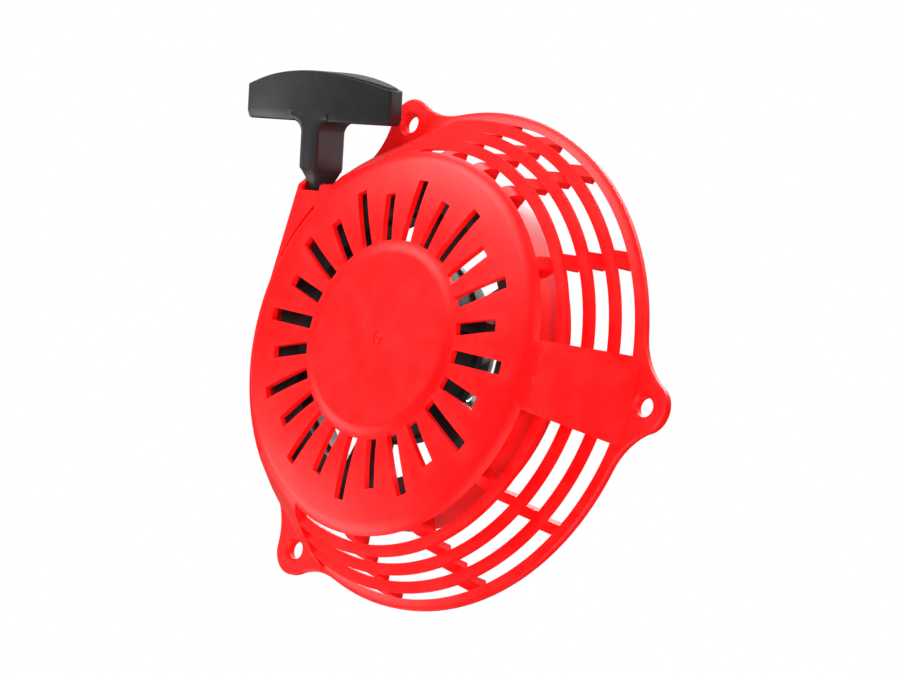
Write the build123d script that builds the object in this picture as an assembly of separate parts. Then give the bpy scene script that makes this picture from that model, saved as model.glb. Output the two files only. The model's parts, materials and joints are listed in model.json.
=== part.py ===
from build123d import *
import math
import os

# Recoil starter for a small engine. Millimetres.
# Everything is modelled in a crank frame: origin on the crank axis in the mounting plane, +Z along
# the crank axis towards the front of the starter, +Y up. At export it is turned about X, so that
# the part's +Z is up, its front faces -Y and the engine is on the +Y side.

# ---- driving dimensions ----
EAR_ANGLES = (105, 225, 345)
BOLT_CIRCLE_R = 89.0
MOUNT_HOLE_R = 3.2
HOLE_ENTRY_R = 4.4
HOLE_ENTRY_DEPTH = 1.3
EAR_R = 8.8
EAR_THICKNESS = 3.6
EAR_BLEND_R = 24.0
RIM_R = 85.4
RIM_BACK_Z = 1.2
WALL = 2.2

# stepped, louvred wall: flat strips and the open risers between them
STEP_COUNT = 4
STEP_R = 5.05
STEP_Z = 6.85
STRIP_INNER_R = 66.6
STRIP_OUTER_R = 70.45
STRIP_TOP_Z = 24.8
STRIP_THICKNESS = 1.9

# front face
FACE_Z = 34.4
PLATEAU_R = 33.6
PLATEAU_RISE = 0.8
PLATEAU_SOFT = 5.4
SHOULDER_R = 8.3
SHOULDER_CENTRE = (58.3, 24.3)
SHOULDER_START_DEG = 12.5
SLOT_COUNT = 24
SLOT_WIDTH = 4.25
SLOT_INNER_R = 33.3
SLOT_LONG_R = 54.1
SLOT_SHORT_R = 49.6
GUARD_RING_R = 60.0
GUARD_RING_BACK_Z = 9.0

# louvre openings: start and end angle of each
LOUVRES = (
    (-46.8, -24.5), (-72.3, -49.7), (-98.5, -76.2), (-124.8, -102.0),
    (-5.0, 16.0), (19.8, 42.0), (46.5, 56.0), (60.6, 70.4), (74.6, 84.0),
    (165.0, 185.5), (189.5, 211.0),
)

# closed sectors of the wall beside the ears: start, end and middle angle, then the facet's slope and distance
SOLID_SECTORS = (
    (99.7, 128.0, 102.0, 33.9, 70.25),
    (211.0, 235.2, 223.1, 36.4, 70.1),
    (335.5, 355.0, 345.25, 36.4, 70.55),
)

# rope and grip: the exit leans a little to the right and to the front
ROPE_R = 2.2
EXIT_POINT = Vector(-49.85, 62.94, 18.1)
EXIT_TILT_DEG = 11.4
EXIT_LEAN_DEG = 13.3
GRIP_YAW_DEG = 6.4
ROPE_BEND_DEPTH = 10.0
ROPE_BEND_R = 30.0
TURN_RADII = (49.3, 53.75)
TURN_LEVELS = (16.8, 22.2)
TURN_SPAN_DEG = 357

# outlet duct
DUCT_TOP_Z = 25.0
DUCT_BACK_Z = 10.0
DUCT_CORNER = Vector(-53.7, 62.5, DUCT_TOP_Z)
DUCT_WALL_TILT_DEG = 17.0
DUCT_FLARE = 0.68
DUCT_RIGHT_X = -35.0
DUCT_WALL = 2.0
EYELET_R = 4.3
MOUTH_NORMAL = Vector(0.161, 0.858, 0.488)
GUTTER_FLOOR_Z = 21.9

# reel
REEL_R = 57.0
REEL_DRUM_R = 47.0
REEL_BACK_Z = 12.4
REEL_FRONT_Z = 26.3
REEL_FLANGE = 1.6
REEL_WINDOWS = 6
REEL_WINDOW_PHASE = 40
REEL_WINDOW_HALF_DEG = 18
POST_R = 7.5
POST_SHOULDER_R = 9.5
POST_END_Z = 13.5
POST_SHOULDER_Z = 22.4
RUNNING_GAP = 0.06

# ratchet
PAWL_PIVOT_R = 21.0
PAWL_PIN_R = 3.0
PAWL_BACK_Z = 14.6
PAWL_FRONT_Z = 18.7
PAWL_SWING_DEG = 26.0
PEG_OFFSET = (1.5, -8.0)
PEG_R = 1.5
GUIDE_LAG_DEG = 24.0
GUIDE_BACK_Z = 10.6
GUIDE_FRONT_Z = 12.2
SCREW_R = 3.0
COLLAR_R = 5.0

# spiral spring
SPRING_INNER_R = 12.2
SPRING_PITCH = 1.8
SPRING_HALF_TURNS = 18
SPRING_THICKNESS = 0.6
SPRING_BACK_Z = 22.6
SPRING_FRONT_Z = 29.4

# grip, measured along its own axis from the exit point
BAR_LENGTH = 62.8
BAR_SHIFT = -0.35
BAR_BOTTOM = 22.4
BAR_CREASE = 26.2
BAR_TOP = 39.3
BAR_END_TOP = 34.2
BAR_DEPTH = 18.8
BAR_END_DEPTH = 7.8
STEM_WIDTH = 7.5
STEM_DEPTH = 18.2
STEM_FLARE = 4.0
NOSE_SECTIONS = ((-2.5, 5.6, 7.4, -0.1), (0.0, 5.8, 9.4, 0.0), (3.0, 6.7, 12.8, 0.4), (6.4, 7.5, 18.2, 0.0))
KNOT_SEAT = 26.0
CAP_THICKNESS = 2.0
CAP_PROUD = 0.8
CAP_INSET = 1.5


# ---- helpers ----
def tube(r_in, r_out, z_low, z_high):
    """A plain ring about the crank axis."""
    height = z_high - z_low
    solid = Cylinder(r_out, height)
    if r_in > 0:
        solid -= Cylinder(r_in, height)
    return Pos(0, 0, (z_low + z_high) / 2) * solid


def sector(r_in, r_out, z_low, z_high, start, end):
    """A ring segment from the start angle to the end angle."""
    section = Plane.XZ * Pos((r_in + r_out) / 2, (z_low + z_high) / 2) * Rectangle(r_out - r_in, z_high - z_low)
    return Rot(0, 0, start) * revolve(section, Axis.Z, end - start)


def profile_solid(edges):
    """Revolve a closed profile in the XZ plane a full turn."""
    return revolve(make_face(edges), Axis.Z)


def on_circle(radius, degrees, z=0.0):
    angle = math.radians(degrees)
    return Vector(radius * math.cos(angle), radius * math.sin(angle), z)


def shoulder_point(radius, degrees):
    """A point on the rounded shoulder, at an angle from the crank axis."""
    angle = math.radians(degrees)
    r_centre, z_centre = SHOULDER_CENTRE
    return (r_centre + radius * math.sin(angle), 0, z_centre + radius * math.cos(angle))


def step_inner(i):
    return STRIP_INNER_R + STEP_R * i


def step_outer(i):
    return STRIP_OUTER_R + STEP_R * i


def step_top(i):
    return STRIP_TOP_Z - STEP_Z * i


def exit_frame():
    """The grip's frame: origin at the exit point, Z along the rope, X along the bar."""
    tilt = math.radians(EXIT_TILT_DEG)
    lean = math.radians(EXIT_LEAN_DEG)
    yaw = math.radians(GRIP_YAW_DEG)
    along = Vector(math.sin(tilt) * math.cos(lean), math.cos(tilt) * math.cos(lean), math.sin(lean))
    bar = Vector(math.cos(yaw), 0, -math.sin(yaw))
    bar = bar - along * bar.dot(along)
    return Plane(origin=EXIT_POINT, x_dir=bar, z_dir=along)


EXIT = exit_frame()


def at_exit(height):
    return EXIT.origin + EXIT.z_dir * height


# ---- starter housing ----
def housing_outside():
    """The closed outer form: crowned face, round shoulder, stepped wall and rim."""
    crown_start = (PLATEAU_R, 0, FACE_Z)
    crown_mid = (46.5, 0, FACE_Z - 0.2)
    crown_end = shoulder_point(SHOULDER_R, SHOULDER_START_DEG)
    plateau_edge = (PLATEAU_R - PLATEAU_SOFT, 0, FACE_Z + PLATEAU_RISE)
    plateau_mid = (PLATEAU_R - PLATEAU_SOFT / 2, 0, FACE_Z + PLATEAU_RISE / 2)
    plateau_top = (PLATEAU_R - 0.73 * PLATEAU_SOFT, 0, FACE_Z + 0.87 * PLATEAU_RISE)
    plateau_foot = (PLATEAU_R - 0.27 * PLATEAU_SOFT, 0, FACE_Z + 0.13 * PLATEAU_RISE)
    shoulder_end = (step_inner(0), 0, SHOULDER_CENTRE[1])
    stairs = [shoulder_end, (step_inner(0), 0, step_top(0))]
    for i in range(STEP_COUNT - 1):
        stairs.append((step_outer(i), 0, step_top(i)))
        stairs.append((step_outer(i), 0, step_top(i) - STRIP_THICKNESS))
        stairs.append((step_inner(i + 1), 0, step_top(i + 1)))
    stairs.append((RIM_R - 0.8, 0, EAR_THICKNESS - 0.3))
    stairs.append((RIM_R - 1.6, 0, RIM_BACK_Z + 0.4))
    stairs.append((0, 0, RIM_BACK_Z + 0.4))
    stairs.append((0, 0, FACE_Z + PLATEAU_RISE))
    stairs.append(plateau_edge)
    edges = [
        ThreePointArc(plateau_edge, plateau_top, plateau_mid),
        ThreePointArc(plateau_mid, plateau_foot, crown_start),
        ThreePointArc(crown_start, crown_mid, crown_end),
        ThreePointArc(crown_end, shoulder_point(SHOULDER_R, 50), shoulder_end),
        Polyline(*stairs[1:], close=False),
        Line(shoulder_end, stairs[1]),
    ]
    return profile_solid(edges)


def housing_inside():
    """The cavity: the outer form moved in by the wall."""
    arc_r = SHOULDER_R - WALL
    arc_start = shoulder_point(arc_r, 0)
    arc_end = shoulder_point(arc_r, 90)
    points = [arc_end, (arc_end[0], 0, step_top(0) - STRIP_THICKNESS)]
    for i in range(STEP_COUNT - 1):
        inner_face = step_outer(i) - WALL
        points.append((inner_face, 0, step_top(i) - STRIP_THICKNESS))
        points.append((step_inner(i + 1) - WALL, 0, step_top(i + 1) - STRIP_THICKNESS))
    last = points.pop()
    points.append((last[0], 0, 0.0))
    points.append((0, 0, 0.0))
    points.append((0, 0, FACE_Z - WALL))
    points.append((PLATEAU_R, 0, FACE_Z - WALL))
    edges = [
        ThreePointArc(points[-1], (46.5, 0, FACE_Z - WALL - 0.3), arc_start),
        ThreePointArc(arc_start, shoulder_point(arc_r, 50), arc_end),
        Polyline(*points),
    ]
    return profile_solid(edges)


def above_facet(sector_plan):
    """What a flat facet cuts away beside an ear, above the flange."""
    _, _, centre, slope_deg, distance = sector_plan
    slope = math.radians(slope_deg)
    normal = Vector(math.cos(slope), 0, math.sin(slope))
    outer = Plane(origin=normal * distance, x_dir=(0, 1, 0), z_dir=normal) * Pos(0, 0, 15) * Box(110, 160, 30)
    above_flange = Pos(0, 0, 25 + EAR_THICKNESS + 0.5) * Box(300, 300, 50)
    return Rot(0, 0, centre) * (outer & above_flange)


def solid_sector(sector_plan):
    """The closed wall beside an ear: the steps' outer corners joined by a smooth slope."""
    start, end = sector_plan[:2]
    outline = [
        ThreePointArc((60.4, 0, 32.0), (66.2, 0, 29.3), (step_outer(0), 0, step_top(0))),
        Polyline((step_outer(0), 0, step_top(0)), (step_outer(2), 0, step_top(2)), (RIM_R - 0.5, 0, EAR_THICKNESS + 0.2),
                 (RIM_R - 1.0, 0, EAR_THICKNESS - 0.3), (40, 0, EAR_THICKNESS - 0.3), (40, 0, 32.0), (60.4, 0, 32.0)),
    ]
    return Rot(0, 0, start) * revolve(make_face(outline), Axis.Z, end - start)


def flange_with_ears():
    """The rim's plate, with the ears blended into it, and thicker pads at the ears."""
    outline = Circle(RIM_R)
    for angle in EAR_ANGLES:
        outline += Pos(on_circle(BOLT_CIRCLE_R, angle)) * Circle(EAR_R)
    outline = fillet(outline.vertices(), EAR_BLEND_R)
    plate = extrude(outline, EAR_THICKNESS - RIM_BACK_Z)
    plate = chamfer(plate.edges().group_by(Axis.Z)[-1], 0.6)
    plate = Pos(0, 0, RIM_BACK_Z) * plate
    for angle in EAR_ANGLES:
        plate += Pos(on_circle(BOLT_CIRCLE_R, angle, 1.0)) * Cylinder(EAR_R - 0.3, 2.0)
    return plate


def duct_block(inset, front_z, back_z):
    """The outlet duct's form between two levels; the left wall flares towards the back."""
    tilt = math.radians(DUCT_WALL_TILT_DEG)
    up_wall = Vector(math.sin(tilt), math.cos(tilt), 0)
    outward = Vector(-math.cos(tilt), math.sin(tilt), 0)

    def outline(level):
        shift = outward * (DUCT_FLARE * (DUCT_TOP_Z - level) - inset)
        top = DUCT_CORNER + up_wall * 16 + shift
        foot = DUCT_CORNER - up_wall * 43 + shift
        right = DUCT_RIGHT_X - inset
        points = [
            (foot.X, foot.Y, level), (top.X, top.Y, level), (right, top.Y, level),
            (right, 55, level), (-50, 30, level), (-56, foot.Y - 4, level),
        ]
        return make_face(Polyline(*points, close=True))

    return loft([outline(back_z), outline(front_z)])


def slab_across_exit(low, high):
    """A wide slab square to the rope's exit."""
    return EXIT * Pos(0, 0, (low + high) / 2) * Box(120, 120, high - low)


def rope_points():
    """The rope's corners: where it leaves the reel, its bend in the duct, and its end in the grip."""
    bend = at_exit(-ROPE_BEND_DEPTH)
    level = TURN_LEVELS[0]
    radius = TURN_RADII[1]
    distance = math.hypot(bend.X, bend.Y)
    bearing = math.atan2(bend.Y, bend.X) + math.acos(radius / distance)
    leave = Vector(radius * math.cos(bearing), radius * math.sin(bearing), level)
    return leave, bend, at_exit(KNOT_SEAT + 1.1), math.degrees(bearing)


def starter_housing():
    body = housing_outside() + flange_with_ears()
    for sector_plan in SOLID_SECTORS:
        body += solid_sector(sector_plan)
    for sector_plan in SOLID_SECTORS:
        body -= above_facet(sector_plan)
    outside = body
    mouth = Plane(origin=DUCT_CORNER, z_dir=MOUTH_NORMAL)
    above_mouth = mouth * Pos(0, 0, 50) * Box(200, 200, 100)
    duct = duct_block(0, DUCT_TOP_Z, DUCT_BACK_Z) - above_mouth
    body += duct
    cavity = housing_inside()
    body -= cavity

    # openings of the louvres, one row for each riser
    cuts = []
    for start, end in LOUVRES:
        for i in range(STEP_COUNT):
            back = step_top(i) - STRIP_THICKNESS - 0.3 if i < STEP_COUNT - 1 else 0.6
            front = step_top(i - 1) - STRIP_THICKNESS if i else step_top(0) + STEP_Z - 1.9
            r_in = GUARD_RING_R + 0.6 if i == 0 else step_inner(i) - 5.5
            cuts.append(sector(r_in, step_inner(i) + 0.05, back, front, start, end))
    body -= cuts

    # guard ring round the reel, and webs that tie it to the stepped wall
    reach = outside & tube(GUARD_RING_R - 1.0, RIM_R, RIM_BACK_Z, FACE_Z)
    inner_parts = [tube(GUARD_RING_R - 2.0, GUARD_RING_R, GUARD_RING_BACK_Z, 29.6)]
    ordered = sorted(LOUVRES)
    for (_, end), (start, _) in zip(ordered, ordered[1:]):
        if start - end < 5:
            web = Rot(0, 0, (start + end) / 2) * Pos(63.8, 0, 26) * Box(10.6, 2.6, 10)
            inner_parts.append(web & reach)
    body += inner_parts

    # outlet duct: gutter beside the face, hollow, seat for the eyelet, and the rope's way out
    body -= sector(step_inner(0) - 0.1, step_outer(0) - 0.1, GUTTER_FLOOR_Z, DUCT_TOP_Z + 2, 123, 148)
    body += sector(64.2, 72.0, GUTTER_FLOOR_Z - 1.5, GUTTER_FLOOR_Z, 121, 150)
    hollow = duct_block(DUCT_WALL, DUCT_TOP_Z - 1.8, DUCT_BACK_Z + DUCT_WALL)
    hollow -= tube(0, 72.4, 0, 40)
    hollow -= slab_across_exit(-9, -5)
    body -= hollow
    body -= EXIT * Pos(1.5, 0, 2.3) * Box(9.0, 18.6, 7.5)
    leave, bend, _, _ = rope_points()
    run = bend - leave
    channel = Plane(origin=leave + run * 0.62, x_dir=Vector(0, 0, 1).cross(run), z_dir=run)
    body -= channel * Box(9, 7.2, 44)
    body -= EXIT * Pos(0, 0, -9) * Cylinder(EYELET_R, 12)

    # face slots, long and short in turn
    slots = []
    for i in range(SLOT_COUNT):
        reach_r = SLOT_LONG_R if i % 2 else SLOT_SHORT_R
        length = reach_r - SLOT_INNER_R
        slots.append(Rot(0, 0, 15 * i) * Pos(SLOT_INNER_R + length / 2, 0, FACE_Z) * Box(length, SLOT_WIDTH, 9))
    body -= slots

    # centre: post, spring slot, stiffening ribs and the gate mark
    ribs = [Rot(0, 0, 45 * i - 5) * Pos(19, 0, FACE_Z - WALL - 0.45) * Box(26, 1.6, 1.1) for i in range(8)]
    body += tube(0, POST_SHOULDER_R, POST_SHOULDER_Z, FACE_Z - WALL + 0.5)
    body += tube(0, POST_R, POST_END_Z, POST_SHOULDER_Z)
    body += tube(0, POST_SHOULDER_R + 2.5, FACE_Z - WALL - 1.2, FACE_Z - WALL + 0.5)
    body += ribs
    body -= tube(0, SCREW_R + 1.6, POST_END_Z - 1, 25.5)
    body -= Pos(POST_SHOULDER_R - 2, 0, 26.2) * Box(6, 1.2, 7.6)
    body -= tube(1.5, 2.1, FACE_Z + PLATEAU_RISE - 0.35, FACE_Z + PLATEAU_RISE + 1)
    body -= tube(0, 0.5, FACE_Z + PLATEAU_RISE - 0.4, FACE_Z + PLATEAU_RISE + 1)

    # mounting holes with a tapered entry
    for angle in EAR_ANGLES:
        body -= Pos(on_circle(BOLT_CIRCLE_R, angle, EAR_THICKNESS / 2)) * Cylinder(MOUNT_HOLE_R, EAR_THICKNESS + 2)
        entry = Cone(MOUNT_HOLE_R, HOLE_ENTRY_R, HOLE_ENTRY_DEPTH)
        body -= Pos(on_circle(BOLT_CIRCLE_R, angle, EAR_THICKNESS - HOLE_ENTRY_DEPTH / 2)) * entry
    return body


def rope_eyelet():
    """Flared wear bush in the duct's seat."""
    bush = Pos(0, 0, -7.4) * Cylinder(EYELET_R, 5.6)
    flange = Pos(0, 0, -4.4) * Cylinder(EYELET_R + 0.6, 1.2)
    bore = Pos(0, 0, -7) * Cylinder(ROPE_R + 0.7, 10)
    flare = Pos(0, 0, -4.3) * Cone(ROPE_R + 0.7, ROPE_R + 1.5, 1.0)
    back_flare = Pos(0, 0, -9.7) * Cone(ROPE_R + 1.5, ROPE_R + 0.7, 1.0)
    return EXIT * (bush + flange - bore - flare - back_flare)


# ---- reel ----
def reel():
    inner_wall = REEL_DRUM_R - 1.7
    body = tube(inner_wall, REEL_DRUM_R, REEL_BACK_Z, REEL_FRONT_Z)
    body += tube(inner_wall, REEL_R, REEL_BACK_Z, REEL_BACK_Z + REEL_FLANGE)
    body += tube(inner_wall, REEL_R, REEL_FRONT_Z - REEL_FLANGE, REEL_FRONT_Z)
    web = tube(POST_R + RUNNING_GAP, inner_wall + 0.5, 18.9, 21.6)
    window_cuts = []
    for i in range(REEL_WINDOWS):
        middle = REEL_WINDOW_PHASE + 360 / REEL_WINDOWS * i
        window_cuts.append(sector(32.6, 44.2, 17, 24, middle - REEL_WINDOW_HALF_DEG, middle + REEL_WINDOW_HALF_DEG))
    web -= window_cuts
    body += web
    # spring pocket in front, hub and bearing behind
    body += tube(30.0, 31.8, 19.5, 30.0)
    body -= Pos(30.9, -0.3, 27) * Box(4, 2.2, 11)
    body -= tube(0, 30.0, 21.9, 31)
    body += tube(POST_R + RUNNING_GAP, 10.6, 13.6, 19.5)
    body -= tube(0, POST_R + RUNNING_GAP, 10, 24)
    # pawl pins and the low walls that guard the pawls
    for turn in (0, 180):
        pin = Pos(PAWL_PIVOT_R, 0, 16.2) * Cylinder(PAWL_PIN_R, 6.0)
        guard = sector(29.6, 31.6, 14.6, 19.4, 22, 125)
        body += Rot(0, 0, turn) * pin
        body += Rot(0, 0, turn) * guard
    # stiffening ribs on the spokes
    for i in range(REEL_WINDOWS):
        middle = REEL_WINDOW_PHASE + 360 / REEL_WINDOWS * (i + 0.5)
        body += Rot(0, 0, middle) * Pos(38.4, 0, 17.6) * Box(14, 1.8, 3.4)
    # groove and hole for the rope's inner end
    body -= Rot(0, 0, 10) * Pos(44, 0, 23.1) * Rot(0, 90, 0) * Cylinder(ROPE_R + 0.1, 12)
    return body


def rope_wound():
    """Four turns in two layers; the outer one stops where the rope leaves the reel."""
    _, _, _, leave_deg = rope_points()
    turns = []
    for radius in TURN_RADII:
        for level in TURN_LEVELS:
            section = Plane.XZ * Pos(radius, level) * Circle(ROPE_R)
            last = radius == TURN_RADII[1] and level == TURN_LEVELS[0]
            sweep_deg = TURN_SPAN_DEG - 27 if last else TURN_SPAN_DEG
            turns.append(Rot(0, 0, leave_deg) * revolve(section, Axis.Z, sweep_deg))
    return Compound(children=turns)


def reel_rope_knot():
    """The inner end's knot on a spoke, with the tail that goes through the drum."""
    knot = Pos(38.4, 0, 25.7) * Sphere(4.0)
    tail = Pos(42.9, 0, 23.1) * Rot(0, 90, 0) * Cylinder(ROPE_R, 7.4)
    knot -= tube(0, 60, 10, 21.7)
    return Rot(0, 0, 10) * (knot + tail)


def rope_run():
    """From the reel, through the eyelet, to the knot seat in the grip."""
    leave, bend, end, _ = rope_points()
    path = FilletPolyline(leave, bend, end, radius=ROPE_BEND_R)
    first = bend - leave
    section = Plane(origin=leave, z_dir=first) * Circle(ROPE_R)
    rope = sweep(section, path=path)
    return rope


# ---- recoil spring ----
def recoil_spring():
    """Flat spiral strip made of half turns, with a hook into the post and one into the reel."""
    half = SPRING_THICKNESS / 2
    shift = SPRING_PITCH / 4
    outer = []
    inner = []
    for i in range(SPRING_HALF_TURNS):
        radius = SPRING_INNER_R + SPRING_PITCH / 2 * i
        side = 1 if i % 2 == 0 else -1
        centre = side * shift * -1 if i else -shift
        for rail, offset in ((outer, half), (inner, -half)):
            r = radius + offset
            rail.append(ThreePointArc((centre + side * r, 0), (centre, side * r), (centre - side * r, 0)))
    edges = outer + inner
    edges.append(Line(outer[0] @ 0, inner[0] @ 0))
    edges.append(Line(outer[-1] @ 1, inner[-1] @ 1))
    strip = extrude(make_face(edges), SPRING_FRONT_Z - SPRING_BACK_Z)
    strip = Pos(0, 0, SPRING_BACK_Z) * strip
    start = outer[0] @ 0
    inner_hook = Pos((start.X + 6.4) / 2, 0.3, 26) * Box(start.X - 6.4, SPRING_THICKNESS, 6.8)
    end = outer[-1] @ 1
    outer_hook = Pos(end.X + 1.3, -0.3, 26) * Box(3.2, SPRING_THICKNESS, 6.8)
    return strip + inner_hook + outer_hook


# ---- ratchet ----
def pawl():
    """Pawl folded in, pivoting at the first pin; its peg rides in the ratchet guide."""
    height = PAWL_FRONT_Z - PAWL_BACK_Z
    tip = (PEG_OFFSET[0] * 2.1, PEG_OFFSET[1] * 2.05)
    arm = make_hull([
        *Circle(5.2).edges(),
        *(Pos(tip[0] - 1.6, tip[1]) * Circle(2.0)).edges(),
        *(Pos(tip[0] + 1.4, tip[1] + 1.2) * Circle(1.4)).edges(),
    ])
    body = extrude(arm, height)
    body -= Pos(0, 0, height / 2) * Cylinder(PAWL_PIN_R + RUNNING_GAP, height + 2)
    body = Pos(0, 0, PAWL_BACK_Z) * body
    peg_back = GUIDE_BACK_Z - 0.4
    body += Pos(PEG_OFFSET[0], PEG_OFFSET[1], (peg_back + PAWL_BACK_Z + 1) / 2) * Cylinder(PEG_R, PAWL_BACK_Z + 1 - peg_back)
    return Pos(PAWL_PIVOT_R, 0, 0) * body


def pawl_spring():
    """Two wire coils round the pawl's pin with one leg along the pawl."""
    wire_r = 0.45
    coils = []
    for i in range(2):
        section = Plane.XZ * Pos(PAWL_PIN_R + 0.7, 13.0 + i * 0.95) * Circle(wire_r)
        coils.append(revolve(section, Axis.Z, 350))
    leg = Pos(PAWL_PIN_R + 0.7, -4.2, 13.0) * Rot(90, 0, 0) * Cylinder(wire_r, 8.0)
    return Pos(PAWL_PIVOT_R, 0, 0) * Compound(children=[coils[0] + leg, coils[1]])


def peg_in_guide(fraction):
    """Where the pawl's peg is, seen from the ratchet guide, as the pawl swings out."""
    swing = math.radians(PAWL_SWING_DEG * fraction)
    lag = math.radians(-GUIDE_LAG_DEG * fraction)
    x, y = PEG_OFFSET
    peg_x = PAWL_PIVOT_R + x * math.cos(swing) - y * math.sin(swing)
    peg_y = x * math.sin(swing) + y * math.cos(swing)
    return (
        peg_x * math.cos(lag) - peg_y * math.sin(lag),
        peg_x * math.sin(lag) + peg_y * math.cos(lag),
    )


def ratchet_guide():
    """Stamped plate with a cam slot for each pawl's peg."""
    plate = tube(COLLAR_R + 0.1, 14.0, GUIDE_BACK_Z, GUIDE_FRONT_Z)
    steps = 8
    track = [peg_in_guide(i / steps) for i in range(steps + 1)]
    middle = (GUIDE_BACK_Z + GUIDE_FRONT_Z) / 2
    slot = [Pos(x, y, middle) * Cylinder(PEG_R + 0.35, 4) for x, y in track]
    for (x1, y1), (x2, y2) in zip(track, track[1:]):
        turn = math.degrees(math.atan2(y2 - y1, x2 - x1))
        length = math.hypot(x2 - x1, y2 - y1)
        slot.append(Pos((x1 + x2) / 2, (y1 + y2) / 2, middle) * Rot(0, 0, turn) * Box(length, 2 * PEG_R + 0.7, 4))
    for turn in (0, 180):
        arm = sector(13.0, 30.0, GUIDE_BACK_Z, GUIDE_FRONT_Z, -50, -8)
        for piece in slot:
            arm -= piece
        plate += Rot(0, 0, turn) * arm
    return plate


def friction_spring():
    """Wire ring that grips the screw's collar behind the guide, with one upturned leg."""
    section = Plane.XZ * Pos(COLLAR_R + 0.75, 9.75) * Circle(0.6)
    ring = revolve(section, Axis.Z, 320)
    leg = Pos(COLLAR_R + 3.6, 0, 9.75) * Rot(0, 90, 0) * Cylinder(0.6, 5.8)
    return Rot(0, 0, 60) * (ring + leg)


def centre_screw():
    shank = tube(0, SCREW_R, 12.4, 24.6)
    collar = tube(0, COLLAR_R, 8.6, 12.5)
    flange = tube(0, 8.6, 7.5, 8.6)
    head = Pos(0, 0, 4.0) * extrude(RegularPolygon(5.8, 6), 3.5)
    dimple = tube(0, 2.6, 3.2, 5.0)
    return shank + collar + flange + head - dimple


def post_insert():
    body = tube(SCREW_R, SCREW_R + 1.6, POST_END_Z, 25.0)
    groove = tube(SCREW_R + 1.2, SCREW_R + 3, 18, 20)
    return body - groove


def thrust_washer():
    return tube(SCREW_R + 0.1, 10.4, 12.5, POST_END_Z)


# ---- grip, built in its own frame ----
def plan_lens(inset):
    """The bar's outline seen along the rope: a long lens with blunt ends."""
    half = BAR_LENGTH / 2 - inset
    depth = BAR_DEPTH / 2 - inset
    end = BAR_END_DEPTH / 2 - inset
    edges = [
        ThreePointArc((-half, end), (0, depth), (half, end)),
        Line((half, end), (half, -end)),
        ThreePointArc((half, -end), (0, -depth), (-half, -end)),
        Line((-half, -end), (-half, end)),
    ]
    return make_face(edges)


def side_band(low, drop):
    """The bar's outline seen from the front, from a low level up to its arched top less a drop."""
    half = BAR_LENGTH / 2 + 1
    top = BAR_TOP - drop
    end = BAR_END_TOP - 0.3 - drop
    edges = [
        ThreePointArc((-half, end), (0, top), (half, end)),
        Polyline((half, end), (half, low), (-half, low), (-half, end)),
    ]
    return extrude(Plane.XZ * make_face(edges), BAR_DEPTH, both=True)


def grip_bar():
    """The bar: a lens in plan, arched on top and bevelled all round below its crease."""
    upper = side_band(BAR_CREASE, 0) & Pos(0, 0, BAR_CREASE) * extrude(plan_lens(0), 30)
    lower = Pos(0, 0, BAR_CREASE) * extrude(plan_lens(0), BAR_BOTTOM - BAR_CREASE, taper=14)
    bar = upper + lower
    upright = bar.edges().filter_by(lambda e: abs(abs(e.center().X) - BAR_LENGTH / 2) < 0.1)
    upright = upright.filter_by(lambda e: abs(abs(e.center().Y) - BAR_END_DEPTH / 2) < 0.1)
    bar = fillet(upright, 1.6)
    under = bar.edges().filter_by(lambda e: abs(e.center().Z - BAR_BOTTOM) < 0.01)
    bar = fillet(under, 1.2)
    return Pos(BAR_SHIFT, 0, 0) * bar


def grip_stem():
    """The stem, flared where it meets the bar."""
    half = STEM_WIDTH / 2
    wide = half + STEM_FLARE
    low = NOSE_SECTIONS[-1][0]
    bend = BAR_BOTTOM - STEM_FLARE
    soft = STEM_FLARE * (1 - math.sqrt(0.5))
    edges = [
        Polyline((-wide, BAR_BOTTOM), (-wide, BAR_CREASE), (wide, BAR_CREASE), (wide, BAR_BOTTOM)),
        ThreePointArc((wide, BAR_BOTTOM), (half + soft, BAR_BOTTOM - soft), (half, bend)),
        Polyline((half, bend), (half, low), (-half, low), (-half, bend)),
        ThreePointArc((-half, bend), (-half - soft, BAR_BOTTOM - soft), (-wide, BAR_BOTTOM)),
    ]
    stem = extrude(Plane.XZ * make_face(edges), STEM_DEPTH / 2, both=True)
    corners = stem.edges().filter_by(lambda e: abs(abs(e.center().Y) - STEM_DEPTH / 2) < 0.01)
    corners = corners.filter_by(lambda e: low + 0.1 < e.center().Z < BAR_BOTTOM - 0.05)
    stem = fillet(corners, 2.2)
    sections = []
    for height, width, depth, forward in NOSE_SECTIONS:
        sections.append(Pos(0, forward, height) * RectangleRounded(width, depth, min(2.2, width / 2 - 0.3)))
    return stem + loft(sections)


def grip_body():
    plan = Pos(BAR_SHIFT, 0, NOSE_SECTIONS[0][0] - 1) * extrude(plan_lens(0.0), 60)
    body = grip_bar() + (grip_stem() & plan)
    body -= Pos(0, 0, 10) * Cylinder(ROPE_R + 0.15, 40)
    body -= Pos(0, 0, KNOT_SEAT + 10) * Cylinder(5.1, 20)
    body -= cap_blank(0.0, 0.0)
    return EXIT * body


def cap_blank(clearance, proud):
    """The cap's solid: the arched top skin inside the bar's outline."""
    plan = Pos(0, 0, BAR_BOTTOM) * extrude(plan_lens(CAP_INSET + clearance), 30)
    band = side_band(BAR_BOTTOM, -proud) - side_band(BAR_BOTTOM - 5, CAP_THICKNESS)
    return Pos(BAR_SHIFT, 0, 0) * (band & plan)


def grip_cap():
    cap = cap_blank(0.12, CAP_PROUD)
    rim = cap.edges().filter_by(lambda e: e.center().Z > BAR_END_TOP + 0.2 and e.length > 20)
    rim = rim.sort_by(Axis.Z)[-2:]
    return EXIT * fillet(rim, 0.5)


def grip_washer():
    ring = Cylinder(4.9, 1.0) - Cylinder(ROPE_R + 0.2, 1.0)
    return EXIT * Pos(0, 0, KNOT_SEAT + 0.5) * ring


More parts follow.
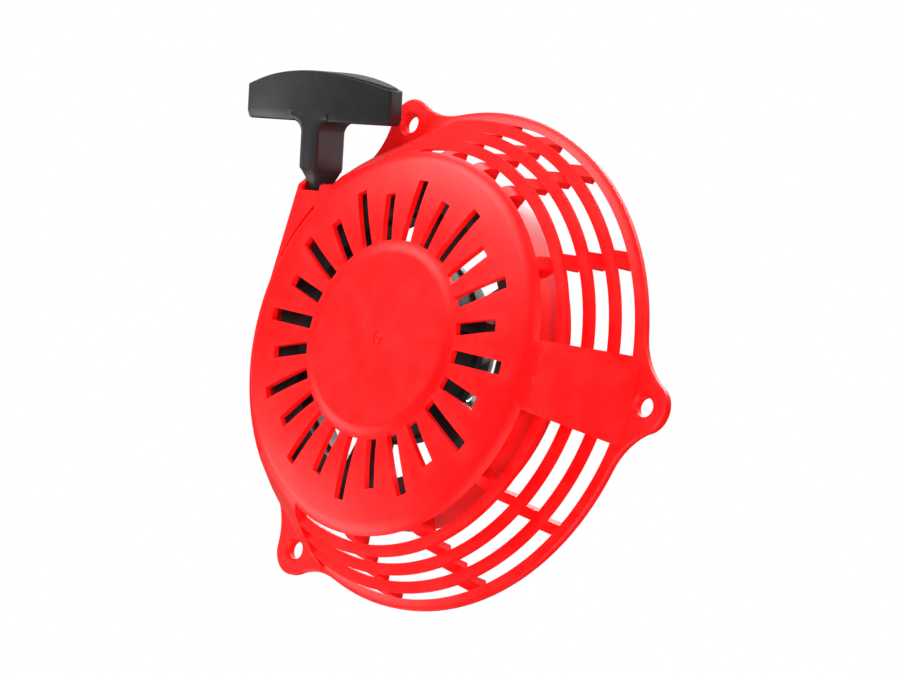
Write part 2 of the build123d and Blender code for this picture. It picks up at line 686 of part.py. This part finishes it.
def grip_rope_knot():
    knot = Pos(0, 0, KNOT_SEAT + 5.0) * Sphere(4.4)
    knot -= Pos(0, 0, KNOT_SEAT - 3.9) * Box(20, 20, 10)
    return EXIT * knot


# ---- export, turned into the part's frame ----
def half_turn(shape):
    return Rot(0, 0, 180) * shape


NODES = {
    "starter_housing": starter_housing,
    "rope_eyelet": rope_eyelet,
    "post_insert": post_insert,
    "recoil_spring": recoil_spring,
    "reel": reel,
    "rope_wound": rope_wound,
    "reel_rope_knot": reel_rope_knot,
    "rope_run": rope_run,
    "pawl_1": pawl,
    "pawl_2": lambda: half_turn(pawl()),
    "pawl_spring_1": pawl_spring,
    "pawl_spring_2": lambda: half_turn(pawl_spring()),
    "ratchet_guide": ratchet_guide,
    "friction_spring": friction_spring,
    "thrust_washer": thrust_washer,
    "centre_screw": centre_screw,
    "grip_body": grip_body,
    "grip_cap": grip_cap,
    "grip_washer": grip_washer,
    "grip_rope_knot": grip_rope_knot,
}

os.makedirs("parts", exist_ok=True)
for name, make in NODES.items():
    export_step(Rot(90, 0, 0) * make(), f"parts/{name}.step")
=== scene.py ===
"""Recoil starter: the looks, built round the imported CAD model. Metres, in the CAD's frame: Z up, front towards -Y."""

import json
import math

import bpy
from mathutils import Matrix, Vector


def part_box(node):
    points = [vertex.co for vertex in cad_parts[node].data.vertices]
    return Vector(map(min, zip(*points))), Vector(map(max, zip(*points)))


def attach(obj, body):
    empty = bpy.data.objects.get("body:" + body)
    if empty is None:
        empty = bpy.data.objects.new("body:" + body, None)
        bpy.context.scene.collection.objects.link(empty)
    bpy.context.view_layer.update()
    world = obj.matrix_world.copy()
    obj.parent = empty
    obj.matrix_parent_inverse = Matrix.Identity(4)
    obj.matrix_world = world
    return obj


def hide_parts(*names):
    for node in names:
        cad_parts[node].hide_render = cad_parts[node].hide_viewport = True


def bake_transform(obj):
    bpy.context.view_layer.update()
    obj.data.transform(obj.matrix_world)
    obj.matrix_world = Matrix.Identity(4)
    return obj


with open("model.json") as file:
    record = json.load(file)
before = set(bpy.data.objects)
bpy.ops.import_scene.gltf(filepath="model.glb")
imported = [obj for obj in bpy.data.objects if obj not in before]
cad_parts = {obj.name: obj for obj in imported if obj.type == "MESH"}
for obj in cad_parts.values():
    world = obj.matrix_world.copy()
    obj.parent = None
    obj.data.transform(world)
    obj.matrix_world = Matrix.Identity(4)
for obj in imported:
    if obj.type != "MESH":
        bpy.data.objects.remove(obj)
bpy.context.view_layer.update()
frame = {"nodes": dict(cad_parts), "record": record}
nodes = frame["nodes"]

# ---- sizes, metres ----
ROPE_R = 0.0022
ROPE_ROUTE = [(-0.05374, -0.0168, 0.00145), (-0.05178, -0.0158, 0.05340), (-0.04464, -0.02433, 0.08879)]
EXIT_DIRECTION = Vector((0.19236, -0.23005, 0.95397))
TURN_RADII = (0.0493, 0.05375)
TURN_LEVELS = (0.0168, 0.0222)
TURN_POINTS = 72
KNOT_SPOKE_DEG = 10.0
CAMERA_LENS = 99.06
CAMERA_PLACE = Vector((0.54900, -0.60759, -0.16972))
CAMERA_FORWARD = Vector((-0.65521532, 0.72513318, 0.21183665))
CAMERA_UP = Vector((0.08975692, -0.20370258, 0.97490972))
LIGHT_REACH = 2.0
KNOT_SIZE = 0.0023
KNOT_TUBE_R = 0.0017
SOFT_EDGES = {"starter_housing": 0.00035, "grip_body": 0.0009, "grip_cap": 0.0003}
WALLS_AS_LIGHT = 0.16
FLOOR_Z = -0.262


# ---- shader graphs ----
class Graph:
    """A material's node tree, with short calls to add nodes and join them."""

    def __init__(self, name):
        self.material = bpy.data.materials.new(name)
        self.material.use_nodes = True
        self.tree = self.material.node_tree
        self.shader = self.tree.nodes["Principled BSDF"]
        coordinates = self.node("ShaderNodeTexCoord")
        self.place = coordinates.outputs["Object"]

    def node(self, kind, settings=None, **inputs):
        made = self.tree.nodes.new(kind)
        for key, value in (settings or {}).items():
            setattr(made, key, value)
        for key, value in inputs.items():
            self.feed(made.inputs[key.replace("_", " ")], value)
        return made

    def feed(self, socket, value):
        if isinstance(value, bpy.types.NodeSocket):
            self.tree.links.new(value, socket)
        else:
            socket.default_value = value

    def noise(self, scale, detail=2.0, roughness=0.5, place=None):
        made = self.node("ShaderNodeTexNoise", Scale=scale, Detail=detail, Roughness=roughness)
        self.feed(made.inputs["Vector"], place or self.place)
        return made.outputs["Fac"]

    def ramp(self, value, low, high, start=0.0, end=1.0):
        made = self.node("ShaderNodeMapRange", {"clamp": True}, Value=value)
        made.inputs["From Min"].default_value = start
        made.inputs["From Max"].default_value = end
        made.inputs["To Min"].default_value = low
        made.inputs["To Max"].default_value = high
        return made.outputs["Result"]

    def maths(self, operation, a, b=0.0):
        made = self.node("ShaderNodeMath", {"operation": operation})
        self.feed(made.inputs[0], a)
        self.feed(made.inputs[1], b)
        return made.outputs[0]

    def mix(self, factor, a, b, blend="MIX"):
        made = self.node("ShaderNodeMix", {"data_type": "RGBA", "blend_type": blend})
        self.feed(made.inputs[0], factor)
        self.feed(made.inputs[6], a if isinstance(a, bpy.types.NodeSocket) else (*a, 1.0))
        self.feed(made.inputs[7], b if isinstance(b, bpy.types.NodeSocket) else (*b, 1.0))
        return made.outputs[2]

    def bump(self, height, strength, distance, normal=None):
        made = self.node("ShaderNodeBump", Strength=strength, Distance=distance, Height=height)
        if normal:
            self.feed(made.inputs["Normal"], normal)
        return made.outputs["Normal"]

    def edges(self, low=0.52, high=0.62):
        """1 on outer edges, 0 on flats and in corners."""
        geometry = self.node("ShaderNodeNewGeometry")
        return self.ramp(geometry.outputs["Pointiness"], 0.0, 1.0, low, high)

    def finish(self, colour, roughness, normal, **constants):
        self.feed(self.shader.inputs["Base Color"], colour)
        self.feed(self.shader.inputs["Roughness"], roughness)
        self.feed(self.shader.inputs["Normal"], normal)
        for key, value in constants.items():
            self.shader.inputs[key.replace("_", " ")].default_value = value
        return self.material


def moulded_plastic(name, deep, base, worn, roughness, grain=0.5, **constants):
    """Injection-moulded plastic: faint flow clouds, fine texture, rubbed edges."""
    g = Graph(name)
    clouds = g.noise(38.0, 3.0, 0.55)
    specks = g.noise(900.0, 2.0, 0.6)
    colour = g.mix(g.ramp(clouds, 0.0, 1.0, 0.3, 0.7), deep, base)
    colour = g.mix(g.ramp(specks, 0.0, 0.12, 0.45, 0.75), colour, worn)
    rub = g.maths("MULTIPLY", g.edges(), g.ramp(g.noise(140.0, 3.0), 0.15, 0.6, 0.4, 0.7))
    colour = g.mix(rub, colour, worn)
    rough = g.ramp(g.maths("ADD", clouds, g.maths("MULTIPLY", specks, 0.4)), roughness[0], roughness[1], 0.4, 1.0)
    normal = g.bump(g.noise(1500.0, 2.0, 0.5), 0.25 * grain, 0.00012)
    normal = g.bump(g.noise(260.0, 2.0, 0.5), 0.12 * grain, 0.0004, normal)
    return g.finish(colour, rough, normal, **constants)


def metal(name, base, dull, roughness, brushed=None, stain=None):
    """Worn steel or brass: brush marks, dull patches, brighter edges."""
    g = Graph(name)
    place = g.place
    if brushed:
        mapping = g.node("ShaderNodeMapping", Vector=g.place)
        mapping.inputs["Scale"].default_value = brushed
        place = mapping.outputs["Vector"]
    lines = g.noise(700.0, 3.0, 0.6, place)
    patches = g.noise(90.0, 4.0, 0.6)
    colour = g.mix(g.ramp(patches, 0.0, 1.0, 0.35, 0.65), base, dull)
    if stain:
        colour = g.mix(g.ramp(g.noise(45.0, 5.0, 0.65), 0.0, 0.7, 0.55, 0.75), colour, stain)
    colour = g.mix(g.maths("MULTIPLY", g.edges(), 0.6), colour, tuple(min(1.0, c * 1.25) for c in base))
    rough = g.ramp(g.maths("ADD", lines, patches), roughness[0], roughness[1], 0.7, 1.3)
    normal = g.bump(lines, 0.18, 0.00008)
    return g.finish(colour, rough, normal, Metallic=1.0)


def rope_fibre(name):
    """Waxed polyester braid: pale fibres with some dirt, and painted shade in the creases between them. The braid
    itself is geometry.
    """
    g = Graph(name)
    fibres = g.noise(4200.0, 3.0, 0.7)
    dirt = g.noise(120.0, 4.0, 0.6)
    colour = g.mix(g.ramp(fibres, 0.0, 1.0, 0.3, 0.7), (0.62, 0.55, 0.40), (0.88, 0.83, 0.70))
    colour = g.mix(g.ramp(dirt, 0.0, 0.5, 0.55, 0.8), colour, (0.33, 0.28, 0.21))
    geometry = g.node("ShaderNodeNewGeometry")
    # painted shade: low pointiness darkens the creases between the strands towards dark brown
    painted_crease_shade = g.ramp(geometry.outputs["Pointiness"], 0.55, 0.0, 0.42, 0.5)
    colour = g.mix(painted_crease_shade, colour, (0.30, 0.25, 0.18))
    rough = g.ramp(fibres, 0.75, 0.95)
    normal = g.bump(fibres, 0.5, 0.00015)
    return g.finish(colour, rough, normal, Sheen_Weight=0.3, Sheen_Roughness=0.5)


def housing_plastic(name):
    """The red plastic, with the faint sink lines that its ribs leave in the front's centre: a bump for their dip and a
    painted sheen that tints them paler.
    """
    g = Graph(name)
    clouds = g.noise(26.0, 3.0, 0.5)
    specks = g.noise(1100.0, 2.0, 0.6)
    deep, base, pale = (0.70, 0.0004, 0.001), (0.86, 0.0012, 0.002), (0.93, 0.015, 0.015)
    colour = g.mix(g.ramp(clouds, 0.0, 1.0, 0.3, 0.7), deep, base)
    colour = g.mix(g.ramp(specks, 0.0, 0.10, 0.5, 0.8), colour, pale)
    rub = g.maths("MULTIPLY", g.edges(), g.ramp(g.noise(120.0, 3.0), 0.1, 0.5, 0.4, 0.7))
    colour = g.mix(rub, colour, pale)

    # eight radial sink lines, 45 degrees apart, out to the edge of the raised centre; their dip is a bump, their paler
    # tint is painted sheen
    parts = g.node("ShaderNodeSeparateXYZ", Vector=g.place)
    x, y, z = parts.outputs[0], parts.outputs[1], parts.outputs[2]
    angle = g.maths("ARCTAN2", z, x)
    turns = g.maths("FRACT", g.maths("ADD", g.maths("MULTIPLY", angle, 8 / (2 * math.pi)), 8.0 + 5.0 / 45.0 + 0.5))
    radius = g.maths("SQRT", g.maths("ADD", g.maths("MULTIPLY", x, x), g.maths("MULTIPLY", z, z)))
    across = g.maths("MULTIPLY", g.maths("ABSOLUTE", g.maths("SUBTRACT", turns, 0.5)), radius)
    line = g.ramp(across, 1.0, 0.0, 0.0, 0.0034)
    inside = g.ramp(radius, 1.0, 0.0, 0.026, 0.031)
    outside = g.ramp(radius, 0.0, 1.0, 0.004, 0.010)
    front = g.ramp(y, 1.0, 0.0, -0.0345, -0.0335)
    line = g.maths("MULTIPLY", g.maths("MULTIPLY", line, inside), g.maths("MULTIPLY", outside, front))
    # painted sheen: the sink lines are tinted towards the pale red
    colour = g.mix(g.maths("MULTIPLY", line, 0.06), colour, pale)

    rough = g.ramp(g.maths("ADD", clouds, g.maths("MULTIPLY", specks, 0.5)), 0.30, 0.42, 0.4, 1.1)
    normal = g.bump(g.noise(1700.0, 2.0, 0.5), 0.10, 0.0001)
    normal = g.bump(g.noise(180.0, 2.0, 0.5), 0.06, 0.0006, normal)
    normal = g.bump(line, 0.16, 0.0006, normal)
    return g.finish(colour, rough, normal, Subsurface_Weight=0.08, Subsurface_Radius=(0.004, 0.0004, 0.0004),
                    Subsurface_Scale=0.6, Specular_IOR_Level=0.27)


RED = housing_plastic("red_plastic")
GRIP = moulded_plastic("grip_plastic", (0.008, 0.0082, 0.0085), (0.014, 0.0142, 0.015), (0.04, 0.041, 0.044),
                       (0.36, 0.48), grain=0.9, Specular_IOR_Level=0.4)
CAP = moulded_plastic("cap_plastic", (0.011, 0.012, 0.013), (0.018, 0.019, 0.021), (0.05, 0.051, 0.055),
                      (0.42, 0.54), grain=1.0, Specular_IOR_Level=0.4)
REEL = moulded_plastic("reel_plastic", (0.011, 0.011, 0.012), (0.020, 0.020, 0.021), (0.08, 0.08, 0.08),
                       (0.30, 0.48), grain=0.8)
ROPE = rope_fibre("rope")
SPRING = metal("spring_steel", (0.30, 0.31, 0.34), (0.16, 0.16, 0.18), (0.22, 0.45), brushed=(1.0, 6.0, 1.0),
               stain=(0.12, 0.08, 0.05))
PAWL = metal("pawl_steel", (0.52, 0.52, 0.53), (0.34, 0.34, 0.35), (0.28, 0.5))
ZINC = metal("zinc_steel", (0.70, 0.70, 0.66), (0.52, 0.53, 0.52), (0.2, 0.42), stain=(0.50, 0.44, 0.30))
BRASS = metal("brass", (0.78, 0.58, 0.25), (0.60, 0.42, 0.16), (0.22, 0.4))

FINISHES = {
    "red_plastic": RED, "grip_plastic": GRIP, "cap_plastic": CAP, "reel_plastic": REEL, "rope": ROPE,
    "spring_steel": SPRING, "pawl_steel": PAWL, "zinc_steel": ZINC, "brass": BRASS,
}
SLOT_OF = {part["node"]: part["material_slot"] for part in frame["record"]["subparts"]}


def soften_edges(obj, width, segments=2, angle=32.0):
    """Moulded or rolled edges on a CAD node: joins its faces and rounds what is sharp."""
    weld = obj.modifiers.new("join", "WELD")
    weld.merge_threshold = 0.000004
    bevel = obj.modifiers.new("edge", "BEVEL")
    bevel.limit_method = "ANGLE"
    bevel.angle_limit = math.radians(angle)
    bevel.width = width
    bevel.segments = segments
    bevel.use_clamp_overlap = True
    bevel.harden_normals = False
    normals = obj.modifiers.new("normals", "WEIGHTED_NORMAL")
    normals.keep_sharp = False
    normals.weight = 80


for name, obj in nodes.items():
    obj.data.materials.clear()
    obj.data.materials.append(FINISHES[SLOT_OF[name]])


# ---- rope pieces ----
def frames_along(points, closed=False):
    """At each point, two directions across the line that don't twist along it."""
    count = len(points)
    tangents = []
    for i in range(count):
        before = points[i - 1] if closed or i > 0 else points[0]
        after = points[(i + 1) % count] if closed or i < count - 1 else points[-1]
        tangents.append((after - before).normalized())
    side = tangents[0].orthogonal().normalized()
    frames = []
    for tangent in tangents:
        side = (side - tangent * side.dot(tangent)).normalized()
        frames.append((side, tangent.cross(side)))
    return frames


def braided_rope(name, points, radius, strands=8, pitch=0.011, around=40):
    """A closed tube along points, its surface raised into two sets of crossing strands."""
    frames = frames_along(points)
    lengths = [0.0]
    for a, b in zip(points, points[1:]):
        lengths.append(lengths[-1] + (b - a).length)
    vertices = []
    for i, point in enumerate(points):
        side, up = frames[i]
        for k in range(around):
            angle = 2 * math.pi * k / around
            turn = 2 * math.pi * lengths[i] / pitch
            first = math.cos(strands / 2 * (angle + turn / (strands / 2) * 2))
            second = math.cos(strands / 2 * (angle - turn / (strands / 2) * 2))
            weave = max(first, second) ** 3 if max(first, second) > 0 else 0.0
            r = radius * (0.90 + 0.10 * weave)
            vertices.append(point + side * (r * math.cos(angle)) + up * (r * math.sin(angle)))
    faces = []
    for i in range(len(points) - 1):
        for k in range(around):
            a, b = i * around + k, i * around + (k + 1) % around
            faces.append((a, b, b + around, a + around))
    faces.append(tuple(reversed(range(around))))
    last = (len(points) - 1) * around
    faces.append(tuple(range(last, last + around)))
    mesh = bpy.data.meshes.new(name)
    mesh.from_pydata(vertices, [], faces)
    mesh.shade_smooth()
    mesh.materials.append(ROPE)
    obj = bpy.data.objects.new(name, mesh)
    bpy.context.scene.collection.objects.link(obj)
    return obj


def smooth_route(control_points, steps):
    """Points along the NURBS curve of the route."""
    curve = bpy.data.curves.new("route", "CURVE")
    curve.dimensions = "3D"
    curve.resolution_u = steps
    spline = curve.splines.new("NURBS")
    spline.points.add(len(control_points) - 1)
    for point, place in zip(spline.points, control_points):
        point.co = (*place, 1.0)
    spline.order_u = 3
    spline.use_endpoint_u = True
    holder = bpy.data.objects.new("route", curve)
    bpy.context.scene.collection.objects.link(holder)
    bpy.context.view_layer.update()
    line = bpy.data.meshes.new_from_object(holder)
    points = [v.co.copy() for v in line.vertices]
    bpy.data.objects.remove(holder)
    bpy.data.curves.remove(curve)
    bpy.data.meshes.remove(line)
    return points


def on_reel(radius, degrees, level):
    """A point in the CAD frame, by its place round the crank axis."""
    angle = math.radians(degrees)
    return Vector((radius * math.cos(angle), -level, radius * math.sin(angle)))


def respace(points, step):
    """The same line with a point every step."""
    spaced = [points[0]]
    left = step
    for a, b in zip(points, points[1:]):
        length = (b - a).length
        while left <= length:
            spaced.append(a.lerp(b, left / length))
            left += step
        left -= length
    spaced.append(points[-1])
    return spaced


leave_deg = math.degrees(math.atan2(ROPE_ROUTE[0][2], ROPE_ROUTE[0][0]))

# the run from the reel to the grip's knot
run_points = respace(smooth_route([Vector(p) for p in ROPE_ROUTE], 60), 0.0006)
run = braided_rope("rope_run_braid", run_points, ROPE_R)
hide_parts("rope_run")


def wound_turns():
    """The rope's path on the drum: in from the knot's hole, two inner turns, two outer ones, and off."""
    path = [on_reel(0.0468, KNOT_SPOKE_DEG, 0.0228)]
    inner, outer = TURN_RADII
    front, back = TURN_LEVELS[1], TURN_LEVELS[0]
    start = KNOT_SPOKE_DEG + 8
    for i in range(TURN_POINTS):
        path.append(on_reel(inner, start + 345 * i / TURN_POINTS, front))
    for i in range(TURN_POINTS):
        path.append(on_reel(inner, start + 360 + 345 * i / TURN_POINTS, back))
    end = math.fmod(leave_deg + 720, 360) + 720
    begin = start + 720
    for i in range(TURN_POINTS):
        path.append(on_reel(outer, begin + 345 * i / TURN_POINTS, front))
    span = math.fmod(end - (begin + 360), 360)
    span = span + 360 if span < 0 else span
    count = max(8, int(TURN_POINTS * span / 360))
    for i in range(count + 1):
        path.append(on_reel(outer, begin + 360 + span * i / count, back))
    return path


wound = braided_rope("rope_wound_braid", respace(wound_turns(), 0.0011), ROPE_R, around=24)
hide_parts("rope_wound")
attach(wound, "reel")


def overhand_knot(name, place, axis, size, radius):
    """A tight overhand knot: one tube along a trefoil-like loop, pulled flat against its seat."""
    axis = axis.normalized()
    side = axis.orthogonal().normalized()
    up = axis.cross(side)
    points = []
    count = 150
    for i in range(count):
        t = 2 * math.pi * i / count
        x = math.sin(t) + 2 * math.sin(2 * t)
        y = math.cos(t) - 2 * math.cos(2 * t)
        z = -math.sin(3 * t)
        points.append(place + side * (x * size * 0.33) + up * (y * size * 0.33) + axis * (z * size * 0.42))
    points.append(points[0].copy())
    return braided_rope(name, points, radius, around=24)


# the rope's two end knots, tied
for node, body in (("reel_rope_knot", "reel"), ("grip_rope_knot", "grip")):
    low, high = (Vector(corner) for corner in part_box(node))
    axis = EXIT_DIRECTION if body == "grip" else on_reel(1.0, KNOT_SPOKE_DEG, 0.0)
    knot = overhand_knot(node + "_tied", (low + high) / 2, axis, KNOT_SIZE, KNOT_TUBE_R)
    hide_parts(node)
    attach(knot, body)

# each pawl spring, copied into a wire object of its own with its transform baked
for node, pawl, side in (("pawl_spring_1", "pawl_1", 1), ("pawl_spring_2", "pawl_2", -1)):
    wire = bpy.data.objects.new(node + "_wire", nodes[node].data.copy())
    bpy.context.scene.collection.objects.link(wire)
    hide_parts(node)
    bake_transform(wire)

for node, width in SOFT_EDGES.items():
    soften_edges(nodes[node], width)


# ---- camera, lights and floor ----
def look(place, forward, up):
    back = -forward.normalized()
    right = up.cross(back).normalized()
    rotation = Matrix((right, back.cross(right), back)).transposed().to_4x4()
    return Matrix.Translation(place) @ rotation


camera = bpy.data.objects.new("camera", bpy.data.cameras.new("camera"))
bpy.context.scene.collection.objects.link(camera)
camera.matrix_world = look(CAMERA_PLACE, CAMERA_FORWARD, CAMERA_UP)
camera.data.lens = CAMERA_LENS
camera.data.sensor_width = 36.0
bpy.context.scene.camera = camera


# stands and sizes are for a reach of 1; shine=False keeps a light out of reflections
def area_light(name, place, target, size, power, colour=(1.0, 1.0, 1.0), shine=True):
    data = bpy.data.lights.new(name, "AREA")
    data.shape = "RECTANGLE"
    data.size, data.size_y = (side * LIGHT_REACH for side in size)
    data.energy = power * LIGHT_REACH ** 2
    data.color = colour
    light = bpy.data.objects.new(name, data)
    bpy.context.scene.collection.objects.link(light)
    stand = Vector(place) * LIGHT_REACH
    light.matrix_world = look(stand, Vector(target) - stand, Vector((0, 0, 1)))
    light.visible_glossy = shine
    return light


area_light("key", (-0.35, -0.75, 0.75), (0, 0, 0), (0.8, 0.6), 10.5)
area_light("front_fill", (0.9, -0.9, 0.1), (0, 0, 0), (0.8, 0.8), 17.0, shine=False)
area_light("low_left", (-0.7, -0.35, -0.35), (0, 0, 0), (0.5, 0.8), 5.0)
area_light("top", (0.0, 0.1, 0.9), (0, 0, 0), (0.9, 0.6), 7.0)
area_light("under_fill", (0.35, -0.55, -0.75), (0, 0, 0), (0.8, 0.8), 9.0, shine=False)
area_light("back", (-0.2, 0.9, 0.4), (0, 0, 0), (0.8, 0.6), 12.0)

# the studio's walls: white to the camera, dimmer as a light
world = bpy.data.worlds.new("studio")
world.use_nodes = True
tree = world.node_tree
walls = tree.nodes["Background"]
walls.inputs["Color"].default_value = (1.0, 1.0, 1.0, 1.0)
walls.inputs["Strength"].default_value = WALLS_AS_LIGHT
seen = tree.nodes.new("ShaderNodeBackground")
seen.inputs["Color"].default_value = (1.0, 1.0, 1.0, 1.0)
seen.inputs["Strength"].default_value = 1.0
rays = tree.nodes.new("ShaderNodeLightPath")
either = tree.nodes.new("ShaderNodeMixShader")
tree.links.new(rays.outputs["Is Camera Ray"], either.inputs[0])
tree.links.new(walls.outputs[0], either.inputs[1])
tree.links.new(seen.outputs[0], either.inputs[2])
tree.links.new(either.outputs[0], tree.nodes["World Output"].inputs["Surface"])
bpy.context.scene.world = world
bpy.context.scene.view_settings.view_transform = "Standard"

floor_mesh = bpy.data.meshes.new("floor")
floor_mesh.from_pydata([(-4, -4, FLOOR_Z), (4, -4, FLOOR_Z), (4, 4, FLOOR_Z), (-4, 4, FLOOR_Z)], [], [(0, 1, 2, 3)])
floor = bpy.data.objects.new("floor", floor_mesh)
bpy.context.scene.collection.objects.link(floor)
floor_graph = Graph("floor_paper")
floor_tone = floor_graph.mix(floor_graph.noise(3.0), (0.92, 0.92, 0.92), (0.96, 0.96, 0.96))
floor_graph.finish(floor_tone, 0.6, floor_graph.bump(floor_graph.noise(400.0), 0.05, 0.0002),
                   Emission_Color=(1.0, 1.0, 1.0, 1.0), Emission_Strength=0.6)
floor_mesh.materials.append(floor_graph.material)
# the floor is only seen: it neither lights the part nor shades it from the low lights
floor.visible_diffuse = False
floor.visible_glossy = False
floor.visible_shadow = False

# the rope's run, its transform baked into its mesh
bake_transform(run)
